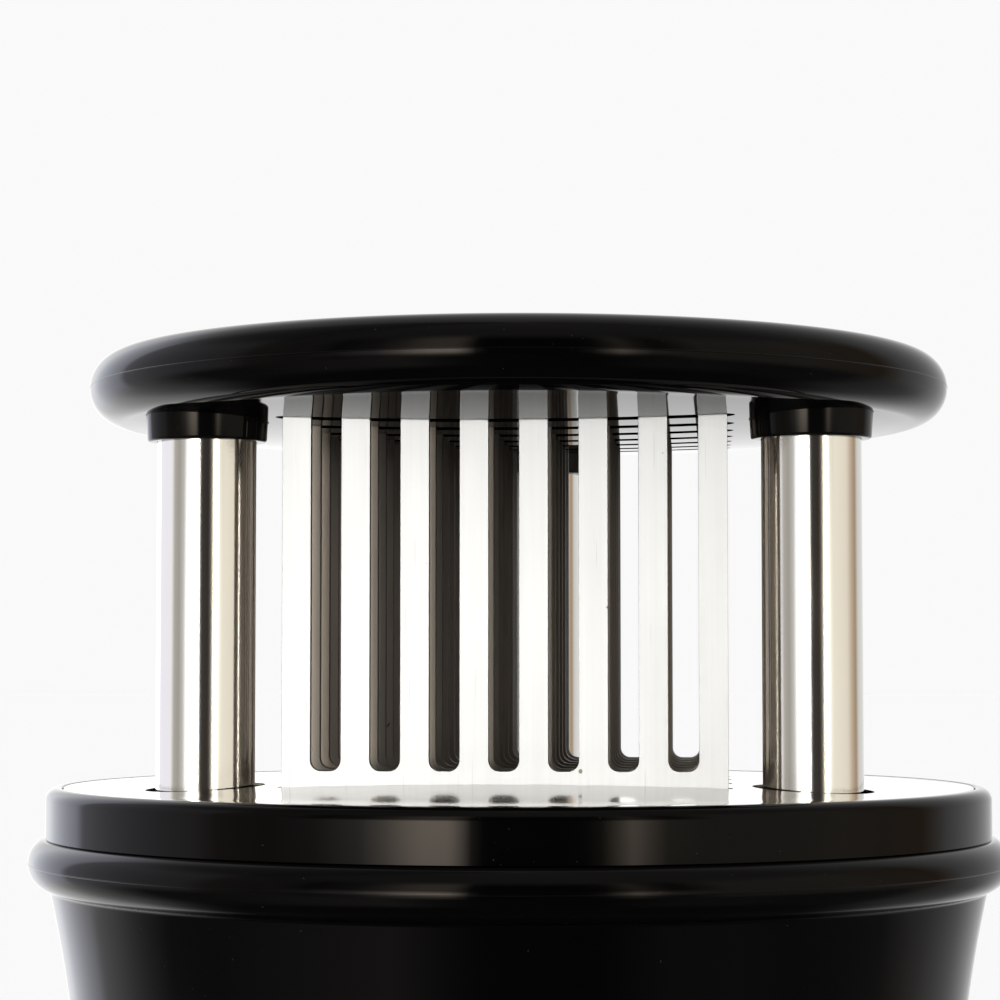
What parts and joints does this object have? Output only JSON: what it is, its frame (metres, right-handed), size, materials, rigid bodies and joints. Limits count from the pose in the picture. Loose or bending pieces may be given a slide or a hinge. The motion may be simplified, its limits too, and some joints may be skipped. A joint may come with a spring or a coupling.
{
  "type": "blade meat tenderizer",
  "caption": "Hand-held meat tenderizer: pot-shaped handle, rows of chisel-tipped steel blades, and a slotted round guard that slides over them on sprung tubes.",
  "frame": {"origin": "centre of the handle's flat end, which the tool stands on with its blades pointing up", "axes": "+Z from the handle to the guard, along the blades; +X along each blade comb; +Y towards the lone tube"},
  "size_m": [0.1044, 0.1044, 0.116],
  "materials": {
    "gloss_black": "high gloss",
    "plate_steel": "polished",
    "blade_steel": "fine vertical grain",
    "tube_steel": "polished",
    "collar_black": "semi-gloss",
    "bush_black": "satin",
    "stop_black": "satin",
    "post_white": "satin",
    "spring_steel": "drawn wire",
    "insert_brass": "machined",
    "carrier_grey": "satin",
    "fastener_steel": "plain"
  },
  "bodies": {
    "handle": {"handle_shell": "gloss_black", "head_ring": "gloss_black", "cover_plate": "plate_steel", "blade_carrier": "carrier_grey", "comb_1": "blade_steel", "comb_2": "blade_steel", "comb_3": "blade_steel", "comb_4": "blade_steel", "comb_5": "blade_steel", "comb_6": "blade_steel", "comb_7": "blade_steel", "carrier_rod_left": "fastener_steel", "carrier_rod_right": "fastener_steel", "carrier_screws": "fastener_steel", "deck_screws": "fastener_steel", "guide_bush_1": "bush_black", "guide_bush_2": "bush_black", "guide_bush_3": "bush_black", "spring_post_1": "post_white", "spring_post_2": "post_white", "spring_post_3": "post_white", "return_spring_1": "spring_steel", "return_spring_2": "spring_steel", "return_spring_3": "spring_steel"},
    "guard": {"guard_disc": "gloss_black", "guard_screws": "fastener_steel", "guide_tube_1": "tube_steel", "guide_tube_2": "tube_steel", "guide_tube_3": "tube_steel", "collar_1": "collar_black", "collar_2": "collar_black", "collar_3": "collar_black", "tube_insert_1": "insert_brass", "tube_insert_2": "insert_brass", "tube_insert_3": "insert_brass", "stop_ring_1": "stop_black", "stop_ring_2": "stop_black", "stop_ring_3": "stop_black"}
  },
  "joints": [
    {"name": "guard_press", "type": "slide", "parent": "handle", "child": "guard", "axis": [0, 0, -1], "range_m": [0, 0.0345], "stiffness_N_per_m": 2070, "springref_m": -0.008, "deforming": ["return_spring_1", "return_spring_2", "return_spring_3"]}
  ]
}
